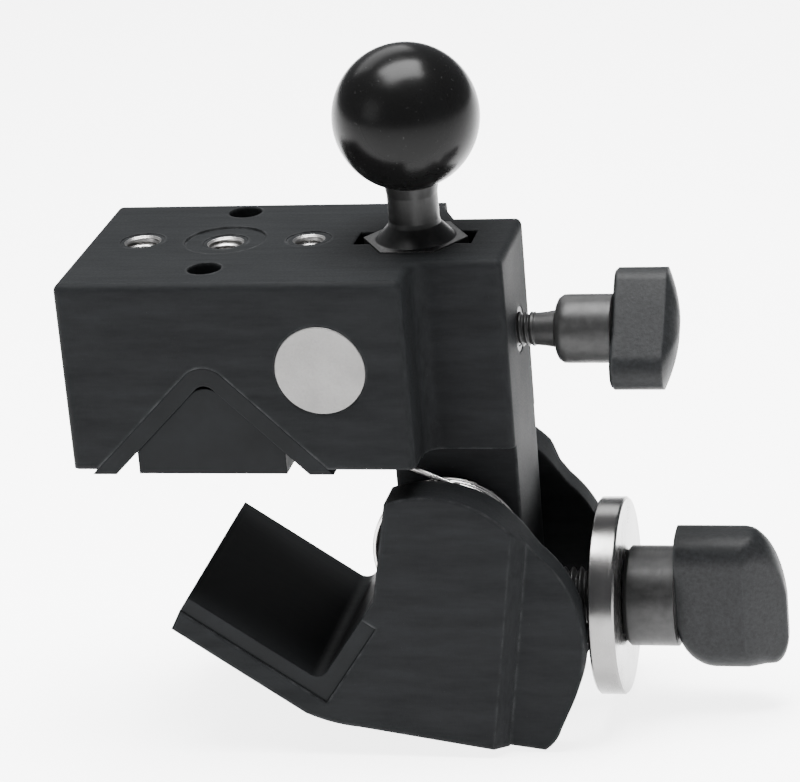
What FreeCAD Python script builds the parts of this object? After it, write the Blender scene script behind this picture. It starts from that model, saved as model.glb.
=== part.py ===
import FreeCAD, Part
import math
import os
from types import SimpleNamespace

import Sketcher
from FreeCAD import Placement, Rotation, Vector

# Table and tube clamp with a ball stud. X runs towards the knobs, Y runs away from the disc side, Z up.
# Origin: under the V apex, on the plane of the screws, at the level of the table that is clamped.

os.makedirs("parts", exist_ok=True)
doc = FreeCAD.newDocument("ball_clamp")

# Driving dimensions in millimetres: alias and value.
DRIVING = (
    ("block_left", -25.0),
    ("block_right", 35.7),
    ("body_front", -23.1),
    ("body_back", 19.9),
    ("body_top", 34.75),
    ("body_base", 0.95),
    ("edge_round", 1.3),
    ("post_right", 51.1),
    ("post_front", -12.75),
    ("post_back", 9.6),
    ("post_step", 0.55),
    ("leg_left", 29.5),
    ("leg_front", -11.0),
    ("leg_back", 8.0),
    ("leg_bottom", -39.25),
    ("groove_apex", 21.45),
    ("liner_thickness", 3.0),
    ("wedge_half_width", 13.15),
    ("wedge_side", 4.0),
    ("wedge_end_gap", 0.4),
    ("liner_end_gap", 0.3),
    ("disc_x", 20.7),
    ("disc_z", 19.1),
    ("disc_diameter", 15.7),
    ("disc_thickness", 1.0),
    ("hole_pitch", 15.0),
    ("plain_hole_diameter", 6.0),
    ("front_hole_depth", 8.0),
    ("back_hole_depth", 7.0),
    ("insert_outer_diameter", 8.0),
    ("insert_depth_left", 10.0),
    ("insert_depth_centre", 11.0),
    ("insert_depth_right", 9.0),
    ("insert_thread_large", 5.8),
    ("insert_thread_small", 5.0),
    ("recess_diameter", 14.4),
    ("recess_depth", 0.4),
    ("socket_x", 34.0),
    ("socket_across_flats", 16.2),
    ("socket_floor", 6.0),
    ("socket_slot_length", 20.7),
    ("socket_slot_width", 6.6),
    ("stud_across_flats", 16.0),
    ("stud_bottom", 6.3),
    ("stud_top", 34.9),
    ("stud_neck_diameter", 8.8),
    ("stud_groove_diameter", 13.0),
    ("ball_diameter", 25.4),
    ("ball_height", 56.6),
    ("lock_height", 17.8),
    ("lock_thread_diameter", 6.0),
    ("lock_bush_diameter", 8.0),
    ("lock_bore_depth", 12.0),
    ("lock_hub_diameter", 12.0),
    ("lock_spigot_diameter", 6.0),
    ("lock_spigot_length", 7.0),
    ("lock_rim_round", 2.0),
    ("lock_bar_length", 22.6),
    ("lock_bar_thickness", 8.4),
    ("lock_bar_depth", 11.4),
    ("lock_bar_left", 67.6),
    ("lock_bar_turn", 45.0),
    ("release_x", 24.6),
    ("release_pin_diameter", 5.0),
    ("pin_bore_depth", 12.0),
    ("guide_bore_diameter", 11.0),
    ("guide_bore_depth", 14.0),
    ("spring_wire_thin", 0.6),
    ("pivot_x", 36.5),
    ("pivot_z", -24.25),
    ("pivot_pin_diameter", 7.0),
    ("pivot_bush_diameter", 9.5),
    ("pin_wall", 3.3),
    ("plug_diameter", 11.0),
    ("plug_bore_depth", 3.0),
    ("plug_key_across", 5.0),
    ("plug_key_depth", 1.8),
    ("cheek_radius", 20.0),
    ("cheek_step_bevel", 2.4),
    ("cheek_inner_front", -15.5),
    ("cheek_inner_back", 12.3),
    ("cam_outer_front", -20.4),
    ("cam_outer_back", 17.1),
    ("cam_base_radius", 8.5),
    ("cam_reach", 25.7),
    ("washer_left", 62.45),
    ("washer_thickness", 4.65),
    ("washer_diameter", 35.1),
    ("clamp_thread_diameter", 10.0),
    ("clamp_bush_diameter", 13.0),
    ("clamp_bush_length", 10.0),
    ("clamp_relief_diameter", 10.4),
    ("clamp_relief_depth", 11.6),
    ("clamp_screw_tip", 44.6),
    ("clamp_hub_diameter", 17.8),
    ("clamp_hub_length", 9.2),
    ("clamp_knob_length", 19.0),
    ("clamp_knob_height", 25.8),
    ("clamp_knob_thickness", 11.6),
    ("clamp_knob_turn", 3.0),
    ("clamp_knob_tip_round", 4.8),
    ("clamp_knob_rim_round", 2.4),
    ("clamp_spigot_diameter", 9.0),
    ("clamp_spigot_length", 12.0),
    ("running_clearance", 0.05),
    ("spring_wire", 0.9),
    ("spring_radius", 13.0),
)

sheet = doc.addObject("Spreadsheet::Sheet", "Sizes")
for row, (alias, value) in enumerate(DRIVING, start=1):
    sheet.set(f"A{row}", alias)
    sheet.set(f"B{row}", str(value))
    sheet.setAlias(f"B{row}", alias)
doc.recompute()
size = SimpleNamespace(**{alias: float(sheet.get(alias)) for alias, _ in DRIVING})

clamp_axis_z = size.pivot_z - size.cam_base_radius
washer_right = size.washer_left + size.washer_thickness
hub_right = washer_right + size.clamp_hub_length
SUB_PARTS = []


def new_body(label, x=0.0, y=0.0, z=0.0):
    """Start a sub-part whose own origin lies at (x, y, z)."""
    body = doc.addObject("PartDesign::Body", label)
    body.Label = label
    body.Placement = Placement(Vector(x, y, z), Rotation())
    SUB_PARTS.append(body)
    return body


def origin_plane(body, role):
    return next(item for item in body.Origin.OriginFeatures if item.Role == role)


def outline(body, name, role, steps, offset=None, turn=0.0):
    """Closed sketch on an origin plane. A step is (x, y), or (x, y, x_mid, y_mid) for an arc to x, y."""
    sketch = body.newObject("Sketcher::SketchObject", f"{body.Name}_{name}")
    sketch.AttachmentSupport = [(origin_plane(body, role), "")]
    sketch.MapMode = "FlatFace"
    sketch.AttachmentOffset = Placement(Vector(), Rotation(Vector(0, 0, 1), turn))
    if offset:
        sketch.setExpression(".AttachmentOffset.Base.z", offset)
    ends = [Vector(step[0], step[1], 0) for step in steps]
    for index, step in enumerate(steps):
        start = ends[index - 1]
        if len(step) == 4:
            middle = Vector(step[2], step[3], 0)
            sketch.addGeometry(Part.Arc(start, middle, ends[index]))
        else:
            sketch.addGeometry(Part.LineSegment(start, ends[index]))
    sketch.recompute()
    return sketch


def circle(body, name, role, centre, diameter, offset=None):
    """Sketch of one circle whose diameter is bound to the sheet."""
    sketch = body.newObject("Sketcher::SketchObject", f"{body.Name}_{name}")
    sketch.AttachmentSupport = [(origin_plane(body, role), "")]
    sketch.MapMode = "FlatFace"
    if offset:
        sketch.setExpression(".AttachmentOffset.Base.z", offset)
    sketch.addGeometry(Part.Circle(Vector(*centre, 0), Vector(0, 0, 1), 1.0))
    sketch.addConstraint(Sketcher.Constraint("Diameter", 0, 2.0))
    sketch.setExpression("Constraints[0]", diameter)
    sketch.recompute()
    return sketch


def pad(body, name, sketch, length):
    feature = body.newObject("PartDesign::Pad", f"{body.Name}_{name}")
    feature.Profile = sketch
    feature.setExpression("Length", length)
    feature.recompute()
    return feature


def pocket(body, name, sketch, length, against=False):
    """Cut a sketch into the body. The body must lose volume."""
    before = body.Tip.Shape.Volume
    feature = body.newObject("PartDesign::Pocket", f"{body.Name}_{name}")
    feature.Profile = sketch
    feature.setExpression("Length", length)
    feature.Reversed = against
    feature.recompute()
    if feature.Shape.Volume > before - 1e-6:
        raise ValueError(f"{body.Name}_{name} cuts nothing")
    return feature


def round_edges(body, name, radius, test, kind="Fillet"):
    """Round or bevel the edges of the body's tip whose middle point passes the test."""
    tip = body.Tip
    names = []
    for number, edge in enumerate(tip.Shape.Edges, start=1):
        middle = edge.valueAt((edge.FirstParameter + edge.LastParameter) / 2)
        if test(middle, edge):
            names.append(f"Edge{number}")
    feature = body.newObject(f"PartDesign::{kind}", f"{body.Name}_{name}")
    feature.Base = (tip, names)
    feature.setExpression("Radius" if kind == "Fillet" else "Size", radius)
    feature.recompute()
    return feature


def turned(label, axis, profile, x=0.0, y=0.0, z=0.0):
    """Turned sub-part about a line along X, Y or Z. The profile is (along, radius) pairs."""
    body = new_body(label, x, y, z)
    along_first = axis == "X"
    steps = profile if along_first else [(radius, along) for along, radius in profile]
    role = {"X": "XY_Plane", "Y": "XY_Plane", "Z": "XZ_Plane"}[axis]
    sketch = outline(body, "profile", role, steps)
    feature = body.newObject("PartDesign::Revolution", f"{label}_turned")
    feature.Profile = sketch
    feature.ReferenceAxis = (sketch, ["H_Axis" if along_first else "V_Axis"])
    feature.Angle = 360.0
    feature.recompute()
    return body


def hexagon(across_flats):
    """Corners of a hexagon with corners on the first axis."""
    radius = across_flats / math.sqrt(3)
    angles = [math.radians(60 * step) for step in range(6)]
    return [(radius * math.cos(angle), radius * math.sin(angle)) for angle in angles]


def cam_point(degrees):
    """Point of the cam edge that touches the washer when the jaw has turned by -degrees."""
    angle = math.radians(degrees)
    reach = size.cam_reach - size.cam_base_radius * angle
    along = reach * math.cos(angle) + size.cam_base_radius * math.sin(angle)
    across = reach * math.sin(angle) - size.cam_base_radius * math.cos(angle)
    return size.pivot_x + along, size.pivot_z + across


def cut_hole(body, name, role, centre, diameter, offset, depth, against=False):
    sketch = circle(body, f"{name}_circle", role, centre, diameter, offset)
    return pocket(body, name, sketch, depth, against=against)


def body_casting():
    """Block with the upper V, post with the hex socket, and leg that carries the pivot and the screws."""
    body = new_body("body_casting")
    left, right, top, base = size.block_left, size.block_right, size.body_top, size.body_base
    foot = size.groove_apex - base
    block = [(left, base), (left, top), (right, top), (right, base), (foot, base)]
    block += [(3.2, size.groove_apex - 3.2), (-3.2, size.groove_apex - 3.2, 0, size.groove_apex - 1.9)]
    block += [(-foot, base)]
    sketch = outline(body, "block_outline", "XZ_Plane", block, "-Sizes.body_back")
    pad(body, "block", sketch, "Sizes.body_back - Sizes.body_front")

    # Post in plan, with the hollow corner at the front and the slanted shoulder at the back.
    front, back, post = size.post_front, size.post_back, size.post_right
    plan = [(24, front), (24, -17), (right, -17), (right, front - 3)]
    plan += [(right + 3, front, right + 0.88, front - 0.88), (post, front), (post, back)]
    plan += [(right + 3.2, back), (right - 0.7, 18.4), (24, 18.4)]
    sketch = outline(body, "post_plan", "XY_Plane", plan, "Sizes.post_step")
    pad(body, "post", sketch, "Sizes.body_top - Sizes.post_step")

    # Rounded outer edges of the block and the post.
    def outer_edge(middle, edge):
        if edge.Length < 3 or len(edge.Vertexes) < 2:
            return False
        if middle.x > post - 0.1:
            return middle.z > top - 0.1 or abs(middle.y - front) < 0.1 or abs(middle.y - back) < 0.1
        on_top = middle.z > top - 0.1
        upright = abs(edge.tangentAt(edge.FirstParameter).z) > 0.99
        at_corner = abs(middle.x - left) < 0.1 or (middle.x > 30 and abs(middle.y - size.body_front) < 0.1)
        at_side = abs(middle.x - left) < 0.1 or abs(middle.y - size.body_front) < 0.1
        at_side = at_side or abs(middle.y - size.body_back) < 0.1 or abs(middle.y - front) < 0.1
        return (upright and at_corner) or (on_top and at_side)

    round_edges(body, "edges", "Sizes.edge_round", outer_edge)

    # Leg: down from the block, round the pivot, and back under the bush of the clamp screw.
    pivot_x, pivot_z, bottom = size.pivot_x, size.pivot_z, size.leg_bottom
    boss = pivot_x - size.leg_left
    slant = boss * math.cos(math.radians(45))
    leg = [(size.leg_left, 3), (size.leg_left, pivot_z)]
    leg += [(pivot_x - 1, pivot_z - boss, pivot_x - slant, pivot_z - slant)]
    leg += [(pivot_x + 1.7, bottom + 1.1), (pivot_x + 3, bottom), (post - 2, bottom)]
    leg += [(post, bottom + 2, post - 0.6, bottom + 0.6), (post, 3)]
    sketch = outline(body, "leg_outline", "XZ_Plane", leg, "-Sizes.leg_back")
    pad(body, "leg", sketch, "Sizes.leg_back - Sizes.leg_front")

    # Holes in the top face.
    pitch = size.hole_pitch
    cut_hole(body, "recess", "XY_Plane", (0, 0), "Sizes.recess_diameter", "Sizes.body_top",
             "Sizes.recess_depth")
    for name, x in (("left", -pitch), ("centre", 0), ("right", pitch)):
        cut_hole(body, f"insert_hole_{name}", "XY_Plane", (x, 0), "Sizes.insert_outer_diameter",
                 "Sizes.body_top", f"Sizes.insert_depth_{name}")
    for name, y in (("front", -pitch), ("back", pitch)):
        cut_hole(body, f"{name}_hole", "XY_Plane", (0, y), "Sizes.plain_hole_diameter",
                 "Sizes.body_top", f"Sizes.{name}_hole_depth")

    # Hex socket with its cross slot.
    corners = [(size.socket_x + x, y) for x, y in hexagon(size.socket_across_flats)]
    sketch = outline(body, "socket_outline", "XY_Plane", corners, "Sizes.body_top")
    pocket(body, "socket", sketch, "Sizes.body_top - Sizes.socket_floor")
    half, side = size.socket_slot_length / 2, size.socket_slot_width / 2
    slot = [(size.socket_x - half, -side), (size.socket_x + half, -side)]
    slot += [(size.socket_x + half, side), (size.socket_x - half, side)]
    sketch = outline(body, "slot_outline", "XY_Plane", slot, "Sizes.body_top")
    pocket(body, "slot", sketch, "Sizes.body_top - Sizes.socket_floor")

    # Seat of the side disc.
    cut_hole(body, "disc_seat", "XZ_Plane", (size.disc_x, size.disc_z), "Sizes.disc_diameter",
             "-Sizes.body_front", "Sizes.disc_thickness")

    # Bores of the lock screw and of the clamp screw, from the right face.
    cut_hole(body, "lock_bore", "YZ_Plane", (0, size.lock_height), "Sizes.lock_bush_diameter",
             "Sizes.post_right", "Sizes.lock_bore_depth")
    cut_hole(body, "clamp_bore", "YZ_Plane", (0, clamp_axis_z), "Sizes.clamp_bush_diameter",
             "Sizes.post_right", "Sizes.clamp_bush_length + 2 * Sizes.running_clearance")
    cut_hole(body, "clamp_relief", "YZ_Plane", (0, clamp_axis_z), "Sizes.clamp_relief_diameter",
             "Sizes.post_right", "Sizes.clamp_relief_depth")

    # Pivot bore through the leg.
    cut_hole(body, "pivot_bore", "XZ_Plane", (pivot_x, pivot_z), "Sizes.pivot_bush_diameter",
             "-Sizes.leg_back - 1", "Sizes.leg_back - Sizes.leg_front + 2", against=True)

    # Bore of the release plunger, from the back face: wide for the guide, narrow for the pin.
    spot = (size.release_x, size.lock_height)
    cut_hole(body, "guide_bore", "XZ_Plane", spot, "Sizes.guide_bore_diameter", "-Sizes.body_back",
             "Sizes.guide_bore_depth", against=True)
    cut_hole(body, "pin_bore", "XZ_Plane", spot, "Sizes.release_pin_diameter + 2 * Sizes.running_clearance",
             "-Sizes.body_back", "Sizes.body_back + Sizes.pin_bore_depth", against=True)
    return body


def v_steps(outer_apex, thickness, foot_level, outer_round, inner_round):
    """Section of an upright V strip, from its outer apex height and its thickness."""
    inner_apex = outer_apex - thickness * math.sqrt(2)
    outer, inner = outer_apex - foot_level, inner_apex - foot_level
    steps = [(-inner, foot_level), (-outer, foot_level), (-outer_round, outer_apex - outer_round)]
    steps += [(outer_round, outer_apex - outer_round, 0, outer_apex - outer_round * 0.594)]
    steps += [(outer, foot_level), (inner, foot_level), (inner_round, inner_apex - inner_round)]
    steps += [(-inner_round, inner_apex - inner_round, 0, inner_apex - inner_round * 0.594)]
    return steps


def upper_v_liner():
    body = new_body("upper_v_liner")
    steps = v_steps(size.groove_apex, size.liner_thickness, 0.0, 3.2, 1.5)
    sketch = outline(body, "section", "XZ_Plane", steps, "-Sizes.body_back")
    pad(body, "strip", sketch, "Sizes.body_back - Sizes.body_front")


def upper_wedge():
    """Loose wedge that turns the V into a flat face."""
    body = new_body("upper_wedge")
    half, side = size.wedge_half_width, size.wedge_side
    apex = half + side
    steps = [(-half, 0), (half, 0), (half, side), (2.4, apex - 2.4)]
    steps += [(-2.4, apex - 2.4, 0, apex - 1.45), (-half, side)]
    sketch = outline(body, "section", "XZ_Plane", steps, "-Sizes.body_back + Sizes.wedge_end_gap")
    pad(body, "block", sketch, "Sizes.body_back - Sizes.body_front - 2 * Sizes.wedge_end_gap")


def tube(label, axis, outer, inner, start, stop, x=0.0, y=0.0, z=0.0, bevel=0.0):
    """Turned ring between two stations along its axis."""
    profile = [(start, inner), (start, outer - bevel), (start + bevel, outer), (stop - bevel, outer)]
    profile += [(stop, outer - bevel), (stop, inner)]
    if bevel == 0:
        profile = [(start, inner), (start, outer), (stop, outer), (stop, inner)]
    return turned(label, axis, profile, x, y, z)


def rod(label, axis, radius, start, stop, x=0.0, y=0.0, z=0.0, bevel=0.3):
    """Turned pin with bevelled ends."""
    profile = [(start, 0), (start, radius - bevel), (start + bevel, radius)]
    profile += [(stop - bevel, radius), (stop, radius - bevel), (stop, 0)]
    return turned(label, axis, profile, x, y, z)


def small_inserts():
    """Threaded inserts of the top face, the side disc and the bushes pressed into the casting."""
    top, pitch = size.body_top, size.hole_pitch
    outer = size.insert_outer_diameter / 2
    inserts = (("left", -pitch, size.insert_depth_left, size.insert_thread_large, 0.15),
               ("centre", 0.0, size.insert_depth_centre, size.insert_thread_large, 0.55),
               ("right", pitch, size.insert_depth_right, size.insert_thread_small, 0.15))
    for name, x, depth, thread, below in inserts:
        start, mouth = top - depth, top - below
        profile = [(start, 0), (start, outer), (mouth, outer), (mouth, thread / 2 + 0.35)]
        profile += [(mouth - 0.35, thread / 2), (start + 1, thread / 2), (start + 1, 0)]
        turned(f"thread_insert_{name}", "Z", profile, x=x)
    rod("side_disc", "Y", size.disc_diameter / 2, size.body_front - 0.15,
        size.body_front + size.disc_thickness, x=size.disc_x, z=size.disc_z, bevel=0.12)
    tube("clamp_bush", "X", size.clamp_bush_diameter / 2, size.clamp_thread_diameter / 2 + 0.03,
         size.post_right - size.clamp_bush_length, size.post_right, z=clamp_axis_z)
    tube("lock_bush", "X", size.lock_bush_diameter / 2, size.lock_thread_diameter / 2 + 0.03,
         size.post_right - 6.6, size.post_right - 0.1, z=size.lock_height)
    pivot_bore = size.pivot_pin_diameter / 2 + size.running_clearance
    tube("pivot_bush", "Y", size.pivot_bush_diameter / 2, pivot_bore, size.leg_front, size.leg_back,
         x=size.pivot_x, z=size.pivot_z)


def jaw_casting():
    """Lower jaw: two cheeks on the pivot, joined under the leg, with the lower V and the cam edges."""
    body = new_body("jaw_casting")
    pivot_x, pivot_z, radius = size.pivot_x, size.pivot_z, size.cheek_radius

    def round_pivot(reach, degrees):
        angle = math.radians(degrees)
        return pivot_x + reach * math.cos(angle), pivot_z + reach * math.sin(angle)

    # Full-width part. The lower V opens up and to the left, its flanks at a right angle.
    arc_start, arc_end = round_pivot(radius, 110), round_pivot(radius, 39)
    arc_middle = round_pivot(radius, 75)
    bed_apex, bed_tip = lower_v(0, 3.0)[0], lower_v(27.5, 3.0)[1]
    wide = [arc_start, (*arc_end, *arc_middle), (53.4, -13.9), (47.9, -52.5), (21.9, -48.1)]
    wide += [(12.3, -45.5, 16.9, -47.2), lower_v(27.0, 6.9)[1], bed_tip, bed_apex]
    wide += [lower_v(14.5, 3.0)[0], lower_v(14.5, 0.0)[0], lower_v(18.7, 0.0)[0]]
    sketch = outline(body, "wide_outline", "XZ_Plane", wide, "-Sizes.body_back")
    pad(body, "wide", sketch, "Sizes.body_back - Sizes.body_front")

    def rear_step(middle, edge):
        upright = abs(middle.x - 50.65) < 0.8 and abs(middle.z + 32.7) < 1.5
        return upright and (abs(middle.y - size.body_front) < 0.01 or abs(middle.y - size.body_back) < 0.01)

    round_edges(body, "steps", "Sizes.cheek_step_bevel", rear_step, "Chamfer")

    # Cam plates behind the full-width part.
    top_end, top_start = round_pivot(radius, 31), round_pivot(radius, 62)
    cam = [(44, -30), top_start, (*top_end, *round_pivot(radius, 46)), cam_point(48)]
    cam += [(*cam_point(12), *cam_point(30)), (*cam_point(-25), *cam_point(-7))]
    cam += [(57.3, -49.2), (54.2, -53.3, 56.1, -51.5), (45.7, -52.1)]
    for name, back, front in (("near", "Sizes.cheek_inner_front", "Sizes.cam_outer_front"),
                              ("far", "Sizes.cam_outer_back", "Sizes.cheek_inner_back")):
        sketch = outline(body, f"{name}_cam_outline", "XZ_Plane", cam, f"-{back}")
        pad(body, f"{name}_cam", sketch, f"{back} - {front}")

    # Room for the leg and the clamp screw between the cheeks, over the whole swing.
    room = [(pivot_x + 30, pivot_z + 22), (pivot_x - 24.5, pivot_z + 22), (pivot_x - 8.9, pivot_z - 3.6)]
    room += [(pivot_x - 7.4, pivot_z - 7), (pivot_x - 4.6, pivot_z - 15.5), (pivot_x + 5.0, pivot_z - 20.6)]
    room += [(*round_pivot(23.0, -62), *round_pivot(22.3, -69)), (pivot_x + 30, pivot_z - 30)]
    sketch = outline(body, "room_outline", "XZ_Plane", room, "-Sizes.cheek_inner_back")
    pocket(body, "room", sketch, "Sizes.cheek_inner_back - Sizes.cheek_inner_front", against=True)

    # Pin bore, blind at the near cheek and closed by a plug in the far cheek.
    cut_hole(body, "pin_bore", "XZ_Plane", (pivot_x, pivot_z), "Sizes.pivot_pin_diameter",
             "-Sizes.body_back", "Sizes.body_back - Sizes.body_front - Sizes.pin_wall", against=True)
    cut_hole(body, "plug_bore", "XZ_Plane", (pivot_x, pivot_z), "Sizes.plug_diameter", "-Sizes.body_back",
             "Sizes.plug_bore_depth", against=True)
    return body


def lower_v(along, depth):
    """Points of the lower V: (right flank, left flank), at a distance up the flank and a depth below it."""
    apex_x, apex_z, lean = 15.5, -39.3, math.radians(55)
    up_x, up_z = math.cos(lean), math.sin(lean)
    if along == 0:
        below = (apex_x + depth * (up_z - up_x), apex_z - depth * (up_x + up_z))
        return below, below
    right = (apex_x + along * up_x + depth * up_z, apex_z + along * up_z - depth * up_x)
    left = (apex_x - along * up_z - depth * up_x, apex_z + along * up_x - depth * up_z)
    return right, left


def lower_v_liner():
    body = new_body("lower_v_liner")
    steps = [lower_v(14.5, 0.0)[0], lower_v(2.0, 0.0)[0], (*lower_v(2.0, 0.0)[1], 15.55, -38.35)]
    steps += [lower_v(27.5, 0.0)[1], lower_v(27.5, 3.0)[1], lower_v(0, 3.0)[0], lower_v(14.5, 3.0)[0]]
    sketch = outline(body, "section", "XZ_Plane", steps, "-Sizes.body_back + Sizes.liner_end_gap")
    pad(body, "strip", sketch, "Sizes.body_back - Sizes.body_front - 2 * Sizes.liner_end_gap")


def pivot_parts():
    """Cross pin with its plug, and the spacers between the leg and the cheeks."""
    x, z, radius = size.pivot_x, size.pivot_z, size.pivot_pin_diameter / 2
    rod("pivot_pin", "Y", radius, size.body_front + size.pin_wall + 0.2,
        size.body_back - size.plug_bore_depth - 0.1, x=x, z=z)
    plug = rod("pivot_plug", "Y", size.plug_diameter / 2, size.body_back - size.plug_bore_depth,
               size.body_back - 0.4, x=x, z=z, bevel=0.4)
    sketch = outline(plug, "key_outline", "XZ_Plane", hexagon(size.plug_key_across), "-Sizes.body_back + 0.4")
    pocket(plug, "key", sketch, "Sizes.plug_key_depth", against=True)
    bore = radius + size.running_clearance
    tube("pivot_spacer_near", "Y", 6.0, bore, size.cheek_inner_front + 0.2, size.leg_front, x=x, z=z)
    tube("pivot_spacer_far", "Y", 8.0, bore, size.leg_back, size.cheek_inner_back - 0.2, x=x, z=z)


def stud_parts():
    """Hex stud with its locking groove and neck, and the ball pressed on it."""
    centre = size.socket_x
    stud = new_body("ball_stud", centre)
    sketch = outline(stud, "hex_outline", "XY_Plane", hexagon(size.stud_across_flats), "Sizes.stud_bottom")
    pad(stud, "hex", sketch, "Sizes.stud_top - Sizes.stud_bottom")
    neck, top = size.stud_neck_diameter / 2, size.stud_top
    steps = [(0, top), (7.0, top), (4.6, top + 2.6), (neck, top + 3.4), (neck, top + 8.0)]
    steps += [(neck + 0.3, top + 9.9), (4.0, top + 9.9), (4.0, size.ball_height), (0, size.ball_height)]
    sketch = outline(stud, "neck_profile", "XZ_Plane", steps)
    feature = stud.newObject("PartDesign::Revolution", "ball_stud_neck")
    feature.Profile = sketch
    feature.ReferenceAxis = (sketch, ["V_Axis"])
    feature.Angle = 360.0
    groove = size.stud_groove_diameter / 2
    middle, half = size.lock_height, 3.4
    steps = [(groove, middle - half), (12, middle - half - 2)]
    steps += [(12, middle + half + 2), (groove, middle + half)]
    sketch = outline(stud, "groove_profile", "XZ_Plane", steps)
    feature = stud.newObject("PartDesign::Groove", "ball_stud_groove")
    feature.Profile = sketch
    feature.ReferenceAxis = (sketch, ["V_Axis"])
    feature.Angle = 360.0
    feature.recompute()

    # Ball with a flat where it meets the neck and a blind bore for the spigot.
    radius, flat = size.ball_diameter / 2, size.stud_top + 9.9 - size.ball_height
    rim = math.sqrt(radius**2 - flat**2)
    steps = [(4.0, flat), (rim, flat), (0, radius, radius, 0), (0, 0.05), (4.0, 0.05)]
    ball = new_body("ball", centre, 0.0, size.ball_height)
    sketch = outline(ball, "profile", "XZ_Plane", steps)
    feature = ball.newObject("PartDesign::Revolution", "ball_turned")
    feature.Profile = sketch
    feature.ReferenceAxis = (sketch, ["V_Axis"])
    feature.Angle = 360.0
    feature.recompute()


def knob_section(thick, tall, tip):
    """Rectangle with rounded corners, anticlockwise from the lower left."""
    cut = tip * (1 - math.sqrt(0.5))
    steps = []
    for side, up in ((-1, -1), (1, -1), (1, 1), (-1, 1)):
        level, upright = (side * (thick - tip), up * tall), (side * thick, up * (tall - tip))
        start, end = (upright, level) if side == up else (level, upright)
        steps += [start, (*end, side * (thick - cut), up * (tall - cut))]
    return steps


def clamp_screw_parts():
    """Thrust washer, clamp screw with its hub, retaining ring and the big knob."""
    left, right, thread = size.washer_left, washer_right, size.clamp_thread_diameter / 2
    tube("thrust_washer", "X", size.washer_diameter / 2, thread + size.running_clearance, left, right,
         z=clamp_axis_z, bevel=0.35)
    tube("washer_ring", "X", thread + 2.0, thread, left - 1.4, left - 0.2, z=clamp_axis_z, bevel=0.15)
    hub = size.clamp_hub_diameter / 2
    start = size.clamp_screw_tip
    profile = [(start, 0), (start, thread - 1), (start + 1, thread)]
    profile += [(right + 0.1, thread), (right + 0.1, hub - 0.8), (right + 0.9, hub), (hub_right, hub)]
    spigot, spigot_end = size.clamp_spigot_diameter / 2, hub_right + size.clamp_spigot_length
    profile += [(hub_right, spigot), (spigot_end, spigot), (spigot_end, 0)]
    turned("clamp_screw", "X", profile, z=clamp_axis_z)

    # Knob: a thick bar with rounded tips across the screw.
    knob = new_body("clamp_knob", hub_right, 0.0, clamp_axis_z)
    steps = knob_section(size.clamp_knob_thickness / 2, size.clamp_knob_height / 2, size.clamp_knob_tip_round)
    sketch = outline(knob, "bar_outline", "YZ_Plane", steps, turn=size.clamp_knob_turn)
    pad(knob, "bar", sketch, "Sizes.clamp_knob_length")

    def end_rim(middle, edge):
        return middle.x > size.clamp_knob_length - 0.1 and edge.Length > 2

    round_edges(knob, "end_rim", "Sizes.clamp_knob_rim_round", end_rim)
    sketch = circle(knob, "spigot_circle", "YZ_Plane", (0, 0), "Sizes.clamp_spigot_diameter")
    pocket(knob, "spigot_bore", sketch, "Sizes.clamp_spigot_length + 0.1", against=True)


def lock_screw_parts():
    """Lock tip, lock screw with its hub, and the bar-shaped lock knob."""
    height, thread = size.lock_height, size.lock_thread_diameter / 2
    wall = size.socket_x + size.stud_groove_diameter / 2
    rod("lock_tip", "X", 2.2, wall + 0.15, wall + 4.0, z=height)
    hub = size.lock_hub_diameter / 2
    profile = [(wall + 4.05, 0), (wall + 4.05, thread - 0.4), (wall + 4.5, thread), (53.8, thread)]
    profile += [(53.9, 2.8), (57.5, 3.25), (58.0, 5.1), (58.8, hub), (size.lock_bar_left, hub)]
    spigot, spigot_end = size.lock_spigot_diameter / 2, size.lock_bar_left + size.lock_spigot_length
    profile += [(size.lock_bar_left, spigot), (spigot_end, spigot), (spigot_end, 0)]
    turned("lock_screw", "X", profile, z=height)
    knob = new_body("lock_knob", size.lock_bar_left, 0.0, height)
    thick, reach = size.lock_bar_thickness / 2, size.lock_bar_length / 2
    straight = reach - thick
    steps = [(-straight, -thick, -reach, 0), (straight, -thick)]
    steps += [(straight, thick, reach, 0), (-straight, thick)]
    sketch = outline(knob, "bar_outline", "YZ_Plane", steps, turn=size.lock_bar_turn)
    pad(knob, "bar", sketch, "Sizes.lock_bar_depth")
    cap_start = size.lock_bar_depth - 0.1
    round_edges(knob, "cap", "Sizes.lock_rim_round", lambda middle, edge: middle.x > cap_start)
    sketch = circle(knob, "spigot_circle", "YZ_Plane", (0, 0), "Sizes.lock_spigot_diameter")
    pocket(knob, "spigot_bore", sketch, "Sizes.lock_spigot_length + 0.1", against=True)


def release_parts():
    """Plunger that locks the stud: pin, button, guide and return spring, pressed in from the back."""
    x, z, back = size.release_x, size.lock_height, size.body_back
    pin = size.release_pin_diameter / 2
    profile = [(-9.0, 0), (-9.0, pin - 0.3), (-8.7, pin), (-6.9, pin), (-5.6, 1.1), (-4.4, 1.1), (-3.1, pin)]
    profile += [(12.0, pin), (12.0, 4.2), (13.2, 4.2), (13.2, 2.6), (back + 4.2, 2.6), (back + 4.2, 0)]
    turned("release_plunger", "Y", profile, x=x, z=z)
    profile = [(back + 4.25, 0), (back + 4.25, 3.9), (back + 5.9, 3.9), (back + 6.4, 3.4), (back + 6.4, 0)]
    turned("release_button", "Y", profile, x=x, z=z)
    profile = [(13.5, 2.7), (13.5, 5.5), (back, 5.5), (back, 6.4), (back + 0.8, 6.4), (back + 0.8, 2.7)]
    turned("release_guide", "Y", profile, x=x, z=z)


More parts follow.
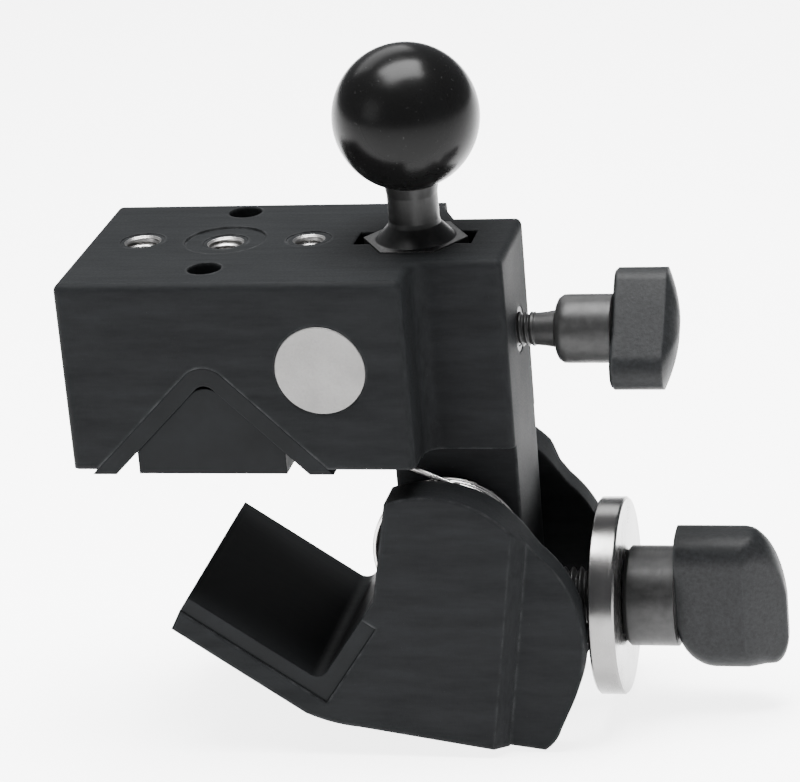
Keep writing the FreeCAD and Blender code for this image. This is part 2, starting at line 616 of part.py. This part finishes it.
def swept_wire(label, path, radius):
    """Round wire along a path of edges."""
    wire = Part.Wire(path)
    start = wire.Edges[0].valueAt(wire.Edges[0].FirstParameter)
    direction = wire.Edges[0].tangentAt(wire.Edges[0].FirstParameter)
    section = Part.Wire(Part.Circle(start, direction, radius).toShape())
    feature = doc.addObject("Part::Feature", label)
    feature.Label = label
    feature.Shape = wire.makePipeShell([section], True, True)
    SUB_PARTS.append(feature)
    return feature


def coil(centre_x, centre_z, start_y, radius, turns, pitch, from_degrees):
    """Helix about a line along Y that climbs towards +Y."""
    helix = Part.makeHelix(pitch, pitch * turns, radius)
    helix.rotate(Vector(), Vector(1, 0, 0), -90)
    helix.rotate(Vector(), Vector(0, 1, 0), -from_degrees)
    helix.translate(Vector(centre_x, start_y, centre_z))
    return helix


def springs():
    """Jaw spring round the pivot with an arm under the block, and the plunger's return spring."""
    centre_x, centre_z = size.pivot_x + 1.8, size.pivot_z + 5.75
    radius, wire = size.spring_radius, size.spring_wire / 2
    anchor = Vector(28.3, -14.8, 0.0)
    reach = math.hypot(anchor.x - centre_x, anchor.z - centre_z)
    bearing = math.degrees(math.atan2(anchor.z - centre_z, anchor.x - centre_x))
    touch = bearing - math.degrees(math.acos(radius / reach))
    helix = coil(centre_x, centre_z, anchor.y, radius, 3.2, 0.98, touch)
    start = helix.Edges[0].valueAt(helix.Edges[0].FirstParameter)
    arm = Part.LineSegment(anchor, start).toShape()
    swept_wire("torsion_spring", [arm] + helix.Edges, wire)
    helix = coil(size.release_x, size.lock_height, 6.35, 3.55, 4.5, 1.2, 0)
    swept_wire("release_spring", helix.Edges, size.spring_wire_thin / 2)


body_casting()
upper_v_liner()
upper_wedge()
small_inserts()
stud_parts()
jaw_casting()
lower_v_liner()
pivot_parts()
clamp_screw_parts()
lock_screw_parts()
release_parts()
springs()

doc.recompute()
for item in doc.Objects:
    if {"Invalid", "Error"} & set(item.State):
        raise ValueError(f"{item.Name} failed")
for part in SUB_PARTS:
    if part.Shape.isNull() or not part.Shape.isValid():
        raise ValueError(f"{part.Label} has no valid shape")
for part in SUB_PARTS:
    part.Shape.exportStep(f"parts/{part.Label}.step")
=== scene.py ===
import math

import bmesh
import bpy
from mathutils import Matrix, Vector


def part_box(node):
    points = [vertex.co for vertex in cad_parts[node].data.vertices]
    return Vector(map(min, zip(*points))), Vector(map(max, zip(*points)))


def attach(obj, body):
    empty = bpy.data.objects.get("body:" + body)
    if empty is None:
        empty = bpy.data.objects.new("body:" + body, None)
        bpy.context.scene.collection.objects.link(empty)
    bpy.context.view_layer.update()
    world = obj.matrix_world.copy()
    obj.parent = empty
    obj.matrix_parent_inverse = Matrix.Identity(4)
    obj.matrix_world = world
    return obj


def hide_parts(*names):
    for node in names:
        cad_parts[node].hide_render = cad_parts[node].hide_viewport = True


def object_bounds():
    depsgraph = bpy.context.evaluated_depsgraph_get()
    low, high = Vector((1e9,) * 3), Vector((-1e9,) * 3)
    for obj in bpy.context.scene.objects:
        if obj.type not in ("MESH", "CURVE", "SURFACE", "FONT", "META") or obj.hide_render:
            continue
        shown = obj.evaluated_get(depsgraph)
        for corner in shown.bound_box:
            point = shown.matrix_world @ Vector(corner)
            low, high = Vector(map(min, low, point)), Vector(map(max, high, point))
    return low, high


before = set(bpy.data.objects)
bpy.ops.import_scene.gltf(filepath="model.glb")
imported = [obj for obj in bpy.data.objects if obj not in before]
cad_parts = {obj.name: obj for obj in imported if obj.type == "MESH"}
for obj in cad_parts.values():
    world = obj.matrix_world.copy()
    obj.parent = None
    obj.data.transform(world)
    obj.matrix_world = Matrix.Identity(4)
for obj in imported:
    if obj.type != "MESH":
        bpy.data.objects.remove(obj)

MM = 0.001
ROUND_STEPS = 96
WIRE_STEPS = 12
cad_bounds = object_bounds()


def centre(node):
    """Middle of a CAD node's box."""
    low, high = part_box(node)
    return (Vector(low) + Vector(high)) / 2


# ---------------------------------------------------------------- node helpers

class Nodes:
    """Short calls for building a material's node tree."""

    def __init__(self, name):
        self.material = bpy.data.materials.new(name)
        self.material.use_nodes = True
        self.tree = self.material.node_tree
        self.shader = self.tree.nodes["Principled BSDF"]
        self.place = self.add("ShaderNodeTexCoord").outputs["Object"]

    def add(self, kind, **inputs):
        node = self.tree.nodes.new(kind)
        for key, value in inputs.items():
            self.feed(node.inputs[key.replace("_", " ")], value)
        return node

    def feed(self, socket, value):
        if isinstance(value, bpy.types.NodeSocket):
            self.tree.links.new(value, socket)
        else:
            socket.default_value = value

    def noise(self, scale, detail=4.0, roughness=0.55, vector=None):
        node = self.add("ShaderNodeTexNoise", Scale=scale, Detail=detail, Roughness=roughness)
        self.feed(node.inputs["Vector"], vector or self.place)
        return node.outputs["Fac"]

    def stretch(self, scale):
        node = self.add("ShaderNodeMapping", Scale=scale)
        self.feed(node.inputs["Vector"], self.place)
        return node.outputs["Vector"]

    def ramp(self, value, low, high, from_low=0.3, from_high=0.7):
        node = self.add("ShaderNodeMapRange")
        settings = ((0, value), (1, from_low), (2, from_high), (3, low), (4, high))
        for index, setting in settings:
            self.feed(node.inputs[index], setting)
        return node.outputs[0]

    def math(self, operation, first, second=0.0):
        node = self.add("ShaderNodeMath")
        node.operation = operation
        self.feed(node.inputs[0], first)
        self.feed(node.inputs[1], second)
        return node.outputs[0]

    def mix(self, amount, first, second):
        node = self.add("ShaderNodeMix")
        node.data_type = "RGBA"
        self.feed(node.inputs[0], amount)
        self.feed(node.inputs[6], first)
        self.feed(node.inputs[7], second)
        return node.outputs[2]

    def bump(self, value, height, strength=1.0, normal=None):
        node = self.add("ShaderNodeBump", Strength=strength, Distance=height)
        self.feed(node.inputs["Height"], value)
        if normal:
            self.feed(node.inputs["Normal"], normal)
        return node.outputs["Normal"]

    def soft_edges(self, radius):
        node = self.add("ShaderNodeBevel", Radius=radius)
        node.samples = 6
        return node.outputs["Normal"]

    def painted_edge_highlight(self, radius):
        """Mask for the painted edge highlight: up to 1 near sharp edges, outer and inner, and 0 on flat
        faces.
        """
        gain = 6.0
        rounded = self.soft_edges(radius)
        geometry = self.add("ShaderNodeNewGeometry").outputs["Normal"]
        node = self.add("ShaderNodeVectorMath")
        node.operation = "DOT_PRODUCT"
        self.feed(node.inputs[0], rounded)
        self.feed(node.inputs[1], geometry)
        bend = self.math("SUBTRACT", 1.0, node.outputs["Value"])
        return self.math("MINIMUM", self.math("MULTIPLY", bend, gain), 1.0)

    def finish(self, **inputs):
        for key, value in inputs.items():
            self.feed(self.shader.inputs[key.replace("_", " ")], value)
        return self.material


def grey(level, warmth=0.0):
    """Grey of a linear level; positive warmth leans to red, negative to blue."""
    return (level * (1 + warmth), level, level * (1 - warmth), 1.0)


# ---------------------------------------------------------------- materials

def casting_paint():
    """Matte black paint on die-cast metal: fine grain, faint draw marks, and a painted highlight of paler
    grey along the edges.
    """
    n = Nodes("casting_paint")
    grain = n.noise(2600, 3.0, 0.6)
    cloud = n.noise(45, 3.0)
    marks = n.noise(60, 4.0, 0.7, n.stretch((1.0, 28.0, 6.0)))
    # Painted highlight: paler grey along outer and inner edges, broken up by noise.
    edge_highlight = n.painted_edge_highlight(0.9 * MM)
    edge_highlight = n.math("MULTIPLY", edge_highlight, n.ramp(n.noise(420, 5.0), 0.15, 1.0, 0.4, 0.65))
    base = n.mix(n.ramp(marks, 0.0, 1.0), grey(0.0048, -0.07), grey(0.0084, -0.07))
    base = n.mix(n.math("MULTIPLY", edge_highlight, 0.5), base, grey(0.05, -0.03))
    speck = n.ramp(n.noise(2600, 2.0), 0.0, 0.35, 0.68, 0.8)
    base = n.mix(speck, base, grey(0.026, -0.03))
    rough = n.math("ADD", n.ramp(cloud, 0.6, 0.72), n.ramp(grain, -0.05, 0.05))
    normal = n.bump(grain, 0.05 * MM, 0.55, n.soft_edges(1.0 * MM))
    normal = n.bump(marks, 0.03 * MM, 0.35, normal)
    return n.finish(Base_Color=base, Roughness=rough, Normal=normal, Specular_IOR_Level=0.035)


def liner_plastic():
    """Black liner strips and wedge: smoother than the paint, with faint moulding streaks."""
    n = Nodes("liner_plastic")
    streak = n.noise(90, 4.0, 0.6, n.stretch((1.0, 12.0, 1.0)))
    grain = n.noise(1800, 2.0)
    base = n.mix(n.ramp(streak, 0.0, 1.0), grey(0.0042, -0.07), grey(0.0074, -0.07))
    normal = n.bump(grain, 0.03 * MM, 0.5, n.soft_edges(0.35 * MM))
    return n.finish(Base_Color=base, Roughness=n.ramp(streak, 0.5, 0.62), Normal=normal,
                    Specular_IOR_Level=0.04)


def knob_plastic():
    """Grainy matte black of the two knobs."""
    n = Nodes("knob_plastic")
    grain = n.noise(1500, 4.0, 0.7)
    broad = n.noise(160, 4.0)
    base = n.mix(n.ramp(grain, 0.0, 1.0), grey(0.0045, -0.06), grey(0.0115, -0.06))
    # Painted highlight: paler grey along the knob edges, broken up by broad noise.
    edge_highlight = n.math("MULTIPLY", n.painted_edge_highlight(0.8 * MM), n.ramp(broad, 0.1, 0.6))
    base = n.mix(edge_highlight, base, grey(0.05, -0.03))
    normal = n.bump(grain, 0.07 * MM, 0.6, n.soft_edges(0.6 * MM))
    normal = n.bump(broad, 0.06 * MM, 0.3, normal)
    return n.finish(Base_Color=base, Roughness=n.ramp(broad, 0.42, 0.52), Normal=normal,
                    Specular_IOR_Level=0.08)


def screw_oxide(name, level, rough):
    """Blackened steel with fine turning marks."""
    n = Nodes(name)
    turning = n.noise(220, 3.0, 0.6, n.stretch((9.0, 1.0, 1.0)))
    spots = n.noise(700, 4.0)
    base = n.mix(n.ramp(spots, 0.0, 1.0), grey(level * 0.7), grey(level * 1.5))
    normal = n.bump(turning, 0.03 * MM, 0.4, n.soft_edges(0.3 * MM))
    roughness = n.math("ADD", n.ramp(turning, -0.06, 0.06), rough)
    return n.finish(Base_Color=base, Roughness=roughness, Metallic=0.1, Normal=normal,
                    Specular_IOR_Level=0.2)


def ball_gloss():
    """Gloss black coat of the ball, with slight orange peel and dust."""
    n = Nodes("ball_gloss")
    peel = n.noise(420, 2.0)
    dust = n.ramp(n.noise(1900, 2.0), 0.0, 1.0, 0.7, 0.78)
    base = n.mix(dust, grey(0.0025), grey(0.02))
    rough = n.math("ADD", n.ramp(n.noise(120, 3.0), 0.2, 0.3), n.math("MULTIPLY", dust, 0.2))
    normal = n.bump(peel, 0.012 * MM, 0.5)
    return n.finish(Base_Color=base, Roughness=rough, Normal=normal, Specular_IOR_Level=0.07)


def disc_satin():
    """Sand-blasted bright disc."""
    n = Nodes("disc_satin")
    blast = n.noise(2200, 3.0, 0.7)
    cloud = n.noise(150, 4.0)
    base = n.mix(n.ramp(cloud, 0.0, 1.0), grey(0.11, 0.02), grey(0.14, 0.02))
    normal = n.bump(blast, 0.04 * MM, 0.6, n.soft_edges(0.15 * MM))
    return n.finish(Base_Color=base, Roughness=n.ramp(blast, 0.42, 0.58), Metallic=0.75, Normal=normal)


def turned_steel(name, along, middle, level, rough):
    """Bright steel with circular lathe marks about an axis through a point."""
    n = Nodes(name)
    shift = n.add("ShaderNodeVectorMath")
    shift.operation = "SUBTRACT"
    n.feed(shift.inputs[0], n.place)
    shift.inputs[1].default_value = middle
    parts = n.add("ShaderNodeSeparateXYZ")
    n.feed(parts.inputs[0], shift.outputs[0])
    across = [parts.outputs[axis] for axis in "XYZ" if axis != along]
    squares = n.math("ADD", n.math("POWER", across[0], 2.0), n.math("POWER", across[1], 2.0))
    radius = n.math("SQRT", squares)
    rings_place = n.add("ShaderNodeCombineXYZ")
    n.feed(rings_place.inputs["X"], radius)
    n.feed(rings_place.inputs["Y"], parts.outputs[along])
    rings = n.noise(2600, 4.0, 0.6, rings_place.outputs[0])
    smear = n.noise(140, 4.0)
    base = n.mix(n.ramp(smear, 0.0, 1.0), grey(level, 0.015), grey(level * 0.86, 0.02))
    roughness = n.math("ADD", n.ramp(smear, rough, rough * 1.5), n.ramp(rings, -0.03, 0.03))
    normal = n.bump(rings, 0.012 * MM, 0.35, n.soft_edges(0.25 * MM))
    return n.finish(Base_Color=base, Roughness=roughness, Metallic=1.0, Normal=normal)


def drawn_wire():
    """Bright spring wire with slight streaks."""
    n = Nodes("drawn_wire")
    streak = n.noise(250, 3.0)
    base = n.mix(n.ramp(streak, 0.0, 1.0), grey(0.62, 0.02), grey(0.45, 0.03))
    return n.finish(Base_Color=base, Roughness=n.ramp(streak, 0.2, 0.34), Metallic=1.0,
                    Normal=n.bump(streak, 0.002 * MM, 0.2))


def pale_floor():
    """White floor that glows, faintly uneven."""
    n = Nodes("pale_floor")
    cloud = n.noise(6, 3.0)
    base = n.mix(n.ramp(cloud, 0.0, 1.0), grey(0.86), grey(0.9))
    return n.finish(Base_Color=base, Roughness=0.7, Emission_Color=grey(1.0), Emission_Strength=4.2)


AXIS_CLAMP = centre("thrust_washer")
MATERIALS = {
    "casting": casting_paint(),
    "liner": liner_plastic(),
    "knob": knob_plastic(),
    "screw": screw_oxide("screw_oxide", 0.011, 0.42),
    "stud": screw_oxide("stud_oxide", 0.006, 0.38),
    "ball": ball_gloss(),
    "disc": disc_satin(),
    "washer": turned_steel("washer_steel", "X", AXIS_CLAMP, 0.14, 0.2),
    "insert": turned_steel("insert_steel", "Z", centre("thread_insert_centre"), 0.3, 0.28),
    "pin": turned_steel("pin_steel", "Y", centre("pivot_pin"), 0.5, 0.3),
    "bronze": turned_steel("bush_bronze", "X", AXIS_CLAMP, 0.4, 0.35),
    "wire": drawn_wire(),
}
USES = {
    "casting": ("body_casting", "jaw_casting"),
    "liner": ("upper_v_liner", "upper_wedge", "lower_v_liner"),
    "knob": ("clamp_knob", "lock_knob"),
    "screw": ("clamp_screw", "lock_screw", "release_guide", "release_button", "pivot_plug",
              "lock_bush"),
    "stud": ("ball_stud",),
    "ball": ("ball",),
    "disc": ("side_disc",),
    "washer": ("thrust_washer",),
    "insert": ("thread_insert_left", "thread_insert_centre", "thread_insert_right"),
    "pin": ("pivot_pin", "pivot_spacer_near", "pivot_spacer_far", "washer_ring", "release_plunger"),
    "bronze": ("clamp_bush", "pivot_bush", "lock_tip"),
    "wire": ("torsion_spring", "release_spring"),
}


def dress_nodes():
    """Give every CAD node its material."""
    for key, nodes in USES.items():
        for name in nodes:
            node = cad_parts[name]
            node.data.materials.clear()
            node.data.materials.append(MATERIALS[key])


dress_nodes()


# ---------------------------------------------------------------- pieces that replace plain CAD nodes

def add_mesh(name, points, faces, body, replaced, materials, sharp=38):
    """New mesh piece on a body, standing for a CAD node."""
    mesh = bpy.data.meshes.new(name)
    mesh.from_pydata(points, [], faces)
    mesh.validate()
    work = bmesh.new()
    work.from_mesh(mesh)
    bmesh.ops.remove_doubles(work, verts=work.verts, dist=1e-6)
    bmesh.ops.recalc_face_normals(work, faces=work.faces)
    work.to_mesh(mesh)
    work.free()
    mesh.shade_smooth()
    mesh.set_sharp_from_angle(angle=math.radians(sharp))
    piece = bpy.data.objects.new(name, mesh)
    for material in materials:
        mesh.materials.append(material)
    bpy.context.collection.objects.link(piece)
    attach(piece, body)
    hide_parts(replaced)
    return piece


def grid_faces(rows, columns):
    """Quads between rings of points; each ring is closed."""
    faces = []
    for row in range(rows - 1):
        for column in range(columns):
            after = (column + 1) % columns
            start, above = row * columns, (row + 1) * columns
            faces.append((start + column, start + after, above + after, above + column))
    return faces


def saw(value):
    """Rounded thread tooth: 0 at the root, 1 at the crest, once per unit."""
    tooth = abs(2 * (value % 1.0) - 1)
    return min(1.0, max(0.0, 1.5 * tooth - 0.2))


def lathe(name, axis, middle, profile, thread, body, replaced, material):
    """Turned piece from (along, radius) pairs in millimetres. The thread is (start, stop, pitch, depth)."""
    start, stop, pitch, depth = thread
    near, rows_per_pitch = 1e-6, 10
    stations = []
    for (along, radius), (along_next, radius_next) in zip(profile, profile[1:]):
        straight = abs(radius - radius_next) < near
        threaded = straight and start - near <= along and along_next <= stop + near
        steps = max(1, int(abs(along_next - along) / pitch * rows_per_pitch)) if threaded else 1
        for step in range(steps):
            stations.append((along + (along_next - along) * step / steps,
                             radius + (radius_next - radius) * step / steps, threaded))
    stations.append((*profile[-1], False))
    points = []
    for along, radius, threaded in stations:
        for column in range(ROUND_STEPS):
            angle = 2 * math.pi * column / ROUND_STEPS
            fade = min(1.0, (along - start) / pitch, (stop - along) / pitch) if threaded else 0.0
            bite = depth * max(0.0, fade) * (1 - saw(along / pitch - column / ROUND_STEPS))
            reach = max(radius - bite, 0.0)
            across = (reach * math.cos(angle), reach * math.sin(angle))
            spot = {"X": (along, *across), "Z": (*across, along)}[axis]
            points.append([middle[index] + value * MM for index, value in enumerate(spot)])
    faces = grid_faces(len(stations), ROUND_STEPS)
    return add_mesh(name, points, faces, body, replaced, [material])


def rounded_section(thick_half, low, high, corner):
    """Points of a rounded rectangle in the plane across the screw."""
    quarter_steps = ROUND_STEPS // 4
    corner = max(0.05, min(corner, thick_half * 0.98, (high - low) * 0.49))
    path = []
    middles = ((thick_half - corner, high - corner, 0), (-thick_half + corner, high - corner, 90),
               (-thick_half + corner, low + corner, 180), (thick_half - corner, low + corner, 270))
    for x, z, first in middles:
        for step in range(quarter_steps):
            angle = math.radians(first + 90 * step / (quarter_steps - 1))
            path.append((x + corner * math.cos(angle), z + corner * math.sin(angle)))
    return path


def loft(name, base, turn, sections, body, replaced, material):
    """Skin over sections along X. A section is (along, half thickness, low, high, corner) in millimetres."""
    angle = math.radians(turn)
    points = []
    for along, thick_half, low, high, corner in sections:
        for across, up in rounded_section(thick_half, low, high, corner):
            y = across * math.cos(angle) - up * math.sin(angle)
            z = across * math.sin(angle) + up * math.cos(angle)
            points.append((base[0] + along * MM, base[1] + y * MM, base[2] + z * MM))
    faces = grid_faces(len(sections), ROUND_STEPS)
    faces.append(tuple(reversed(range(ROUND_STEPS))))
    faces.append(tuple(range((len(sections) - 1) * ROUND_STEPS, len(sections) * ROUND_STEPS)))
    add_mesh(name, points, faces, body, replaced, [material], sharp=24)


def quarter(run, reach, drop):
    """How far an elliptical corner has dropped, at a run along its reach."""
    part = min(max(run / reach, 0.0), 1.0)
    return drop * (1 - math.sqrt(1 - part * part))


def clamp_knob():
    """Big knob: thick bar, its outer end domed from the crease, its corners rounded crosswise."""
    low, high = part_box("clamp_knob")
    long, tall, thick = ((high[index] - low[index]) / MM for index in (0, 2, 1))
    tall, thick = tall / 2 - 0.1, thick / 2 - 0.4
    crease, last, sections = 0.63 * long, 54, []
    for step in range(last + 1):
        along = long * (1 - (1 - step / last) ** 1.6)
        top = tall - quarter(along - 0.68 * long, 0.325 * long, 1.12 * tall)
        bottom = -tall + quarter(0.34 * long - along, 0.35 * long, 0.62 * tall)
        bottom += quarter(along - 0.86 * long, 0.143 * long, 0.46 * tall)
        dome = max(0.0, (along - crease) / (long - crease))
        thick_here = thick * (1 - 0.8 * dome**1.1)
        sections.append((along, thick_here, bottom, top, 4.6 - 1.6 * dome))
    base = (low[0], 0.0, AXIS_CLAMP[2])
    loft("clamp_knob_skin", base, 3.0, sections, "screw_and_knob", "clamp_knob",
         MATERIALS["knob"])


def lock_knob():
    """Lock knob: round-ended bar on a slant, its outer face a shallow dome with a crisp rim."""
    low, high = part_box("lock_knob")
    long = (high[0] - low[0]) / MM
    half_long, half_thick, dome, round_in = 11.2, 4.15, 2.3, 0.5
    thin, short, side = half_thick - round_in, half_long - round_in, long - dome
    sections = [(0.0, thin, -short, short, thin)]
    sections += [(side * part, half_thick, -half_long, half_long, half_thick) for part in (0.06, 0.5, 0.97)]
    for step in range(14):
        scale = 1 - step / 13.5
        along = side + dome * (1 - scale**2)
        thick_here, long_here = half_thick * scale, half_long * scale
        sections.append((along, thick_here, -long_here, long_here, thick_here))
    middle = centre("lock_screw")
    loft("lock_knob_skin", (low[0], 0.0, middle[2]), -45.0, sections, "lock_screw_and_knob",
         "lock_knob", MATERIALS["knob"])


def clamp_screw():
    """M10 screw with its hub and the spigot inside the big knob."""
    low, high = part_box("clamp_screw")
    tip, end = low[0] / MM, high[0] / MM
    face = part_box("thrust_washer")[1][0] / MM + 0.1
    hub_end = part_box("clamp_knob")[0][0] / MM
    thread, hub, spigot, thread_end = 4.98, 8.9, 4.5, face - 4.9
    profile = [(tip, 0.0), (tip, 4.0), (tip + 1, thread), (thread_end, thread), (face, thread)]
    profile += [(face, hub - 0.8), (face + 0.8, hub), (hub_end, hub), (hub_end, spigot), (end, spigot)]
    profile += [(end, 0.0)]
    lathe("clamp_screw_turned", "X", (0, 0, AXIS_CLAMP[2]), profile, (tip + 1, thread_end, 1.5, 0.85),
          "screw_and_knob", "clamp_screw", MATERIALS["screw"])


def lock_screw():
    """M6 screw with its waisted neck, its hub and the spigot inside the lock knob."""
    low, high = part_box("lock_screw")
    tip, end = low[0] / MM, high[0] / MM
    hub_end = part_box("lock_knob")[0][0] / MM
    thread, thread_end, hub, spigot = 3.0, 53.8, 6.0, 2.9
    profile = [(tip, 0.0), (tip, 2.6), (tip + 0.45, thread), (thread_end, thread)]
    profile += [(53.9, 2.8), (55.6, 2.95), (57.5, 3.25), (57.8, 4.6), (58.2, 5.4), (59.0, 5.95)]
    profile += [(60.0, hub), (hub_end, hub), (hub_end, spigot), (end, spigot), (end, 0.0)]
    lathe("lock_screw_turned", "X", (0, 0, centre("lock_screw")[2]), profile,
          (tip + 0.45, thread_end, 1.0, 0.5), "lock_screw_and_knob", "lock_screw",
          MATERIALS["screw"])


def thread_inserts():
    """The three inserts of the top face: bright thread inside, blackened rim."""
    for name, bore in (("left", 2.9), ("centre", 2.9), ("right", 2.5)):
        node = f"thread_insert_{name}"
        low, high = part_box(node)
        floor, mouth = low[2] / MM, high[2] / MM
        outer = (high[0] - low[0]) / 2 / MM - 0.02
        thread_start, thread_end = floor + 1.0, mouth - 0.3
        profile = [(thread_start, 0.0), (thread_start, bore + 0.02), (thread_end, bore + 0.02)]
        profile += [(thread_end, bore + 0.1), (mouth, bore + 0.35), (mouth, outer), (floor, outer)]
        profile += [(floor, 0.0)]
        piece = lathe(f"{node}_cut", "Z", (centre(node)[0], 0, 0), profile,
                      (thread_start, thread_end, 1.0, 0.42), "clamp_body", node,
                      MATERIALS["insert"])
        piece.data.materials.append(MATERIALS["casting"])
        for face in piece.data.polygons:
            if face.normal.z > 0.9 and face.center.z > (mouth - 0.1) * MM:
                face.material_index = 1


def jaw_spring():
    """Smooth wire of the jaw spring: a straight arm into coils that step towards the far cheek."""
    low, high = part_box("torsion_spring")
    thick, radius, turns, turn_steps, arm_steps = 0.45 * MM, 13.0 * MM, 3.2, 60, 12
    middle_x, middle_z = high[0] - thick - radius, low[2] + thick + radius
    first_y = low[1] + thick
    pitch = (high[1] - thick - first_y) / turns
    arm_back, arm_rise = 10.0 * MM, 18.5 * MM
    anchor = Vector((middle_x - arm_back, first_y, middle_z + arm_rise))
    reach = math.hypot(anchor.x - middle_x, anchor.z - middle_z)
    touch = math.atan2(anchor.z - middle_z, anchor.x - middle_x) - math.acos(min(1.0, radius / reach))
    path = []
    for step in range(int(turns * turn_steps) + 1):
        turn = 2 * math.pi * step / turn_steps
        path.append(Vector((middle_x + radius * math.cos(touch - turn), first_y + pitch * step / turn_steps,
                            middle_z + radius * math.sin(touch - turn))))
    path = [anchor.lerp(path[0], step / arm_steps) for step in range(arm_steps)] + path
    points = []
    for index, spot in enumerate(path):
        ahead = (path[min(index + 1, len(path) - 1)] - path[max(index - 1, 0)]).normalized()
        side = ahead.cross(Vector((0, 1, 0))).normalized()
        other = ahead.cross(side)
        for column in range(WIRE_STEPS):
            angle = 2 * math.pi * column / WIRE_STEPS
            points.append(spot + thick * (math.cos(angle) * side + math.sin(angle) * other))
    faces = grid_faces(len(path), WIRE_STEPS)
    faces.append(tuple(range(WIRE_STEPS)))
    faces.append(tuple(range((len(path) - 1) * WIRE_STEPS, len(path) * WIRE_STEPS)))
    add_mesh("jaw_spring_wire", points, faces, "clamp_body", "torsion_spring",
             [MATERIALS["wire"]], sharp=60)


clamp_knob()
lock_knob()
clamp_screw()
lock_screw()
thread_inserts()
jaw_spring()


# ---------------------------------------------------------------- camera, lights, floor

def camera():
    """Low three-quarter view from the disc side, slightly rolled, with a long lens."""
    turn, height, roll = math.radians(13.2), math.radians(20.99), math.radians(-4.95)
    forward = Vector((-math.sin(turn) * math.cos(height), math.cos(turn) * math.cos(height),
                      -math.sin(height)))
    level = Vector((math.cos(turn), math.sin(turn), 0))
    upright = level.cross(forward)
    right = math.cos(roll) * level + math.sin(roll) * upright
    up = -math.sin(roll) * level + math.cos(roll) * upright
    matrix = Matrix((right, up, -forward)).transposed().to_4x4()
    matrix.translation = Vector((0.16087, -0.56281, 0.22807))
    data = bpy.data.cameras.new("camera")
    data.lens, data.sensor_width = 158.5, 36.0
    view = bpy.data.objects.new("camera", data)
    view.matrix_world = matrix
    bpy.context.collection.objects.link(view)
    bpy.context.scene.camera = view


def area_light(name, place, target, power, width, height):
    """Soft rectangular lamp aimed at a point."""
    data = bpy.data.lights.new(name, "AREA")
    data.shape, data.size, data.size_y, data.energy = "RECTANGLE", width, height, power
    lamp = bpy.data.objects.new(name, data)
    lamp.location = place
    lamp.rotation_euler = (Vector(target) - Vector(place)).to_track_quat("-Z", "Y").to_euler()
    bpy.context.collection.objects.link(lamp)


def surroundings():
    """White floor below the part, pale world, and three soft lamps."""
    floor_z = cad_bounds[0][2] - 0.5 * MM
    mesh = bpy.data.meshes.new("floor")
    corners = [(x, y, floor_z) for x, y in ((-3, -3), (3, -3), (3, 3), (-3, 3))]
    mesh.from_pydata(corners, [], [(0, 1, 2, 3)])
    floor = bpy.data.objects.new("floor", mesh)
    floor.data.materials.append(pale_floor())
    bpy.context.collection.objects.link(floor)
    world = bpy.data.worlds.new("white_room")
    world.use_nodes = True
    sky = world.node_tree.nodes["Background"]
    sky.inputs["Color"].default_value = (0.93, 0.95, 1.0, 1)
    sky.inputs["Strength"].default_value = 0.3
    bpy.context.scene.world = world
    middle = (0.03, 0.0, 0.0)
    area_light("overhead", (0.02, 0.02, 0.62), middle, 23.0, 0.5, 0.34)
    area_light("left_fill", (-0.75, -0.75, 0.45), middle, 3.0, 0.5, 0.5)
    area_light("back_wash", (-0.55, 1.0, 0.9), (0.0, 0.4, 0.0), 10.0, 1.2, 0.6)


camera()
surroundings()
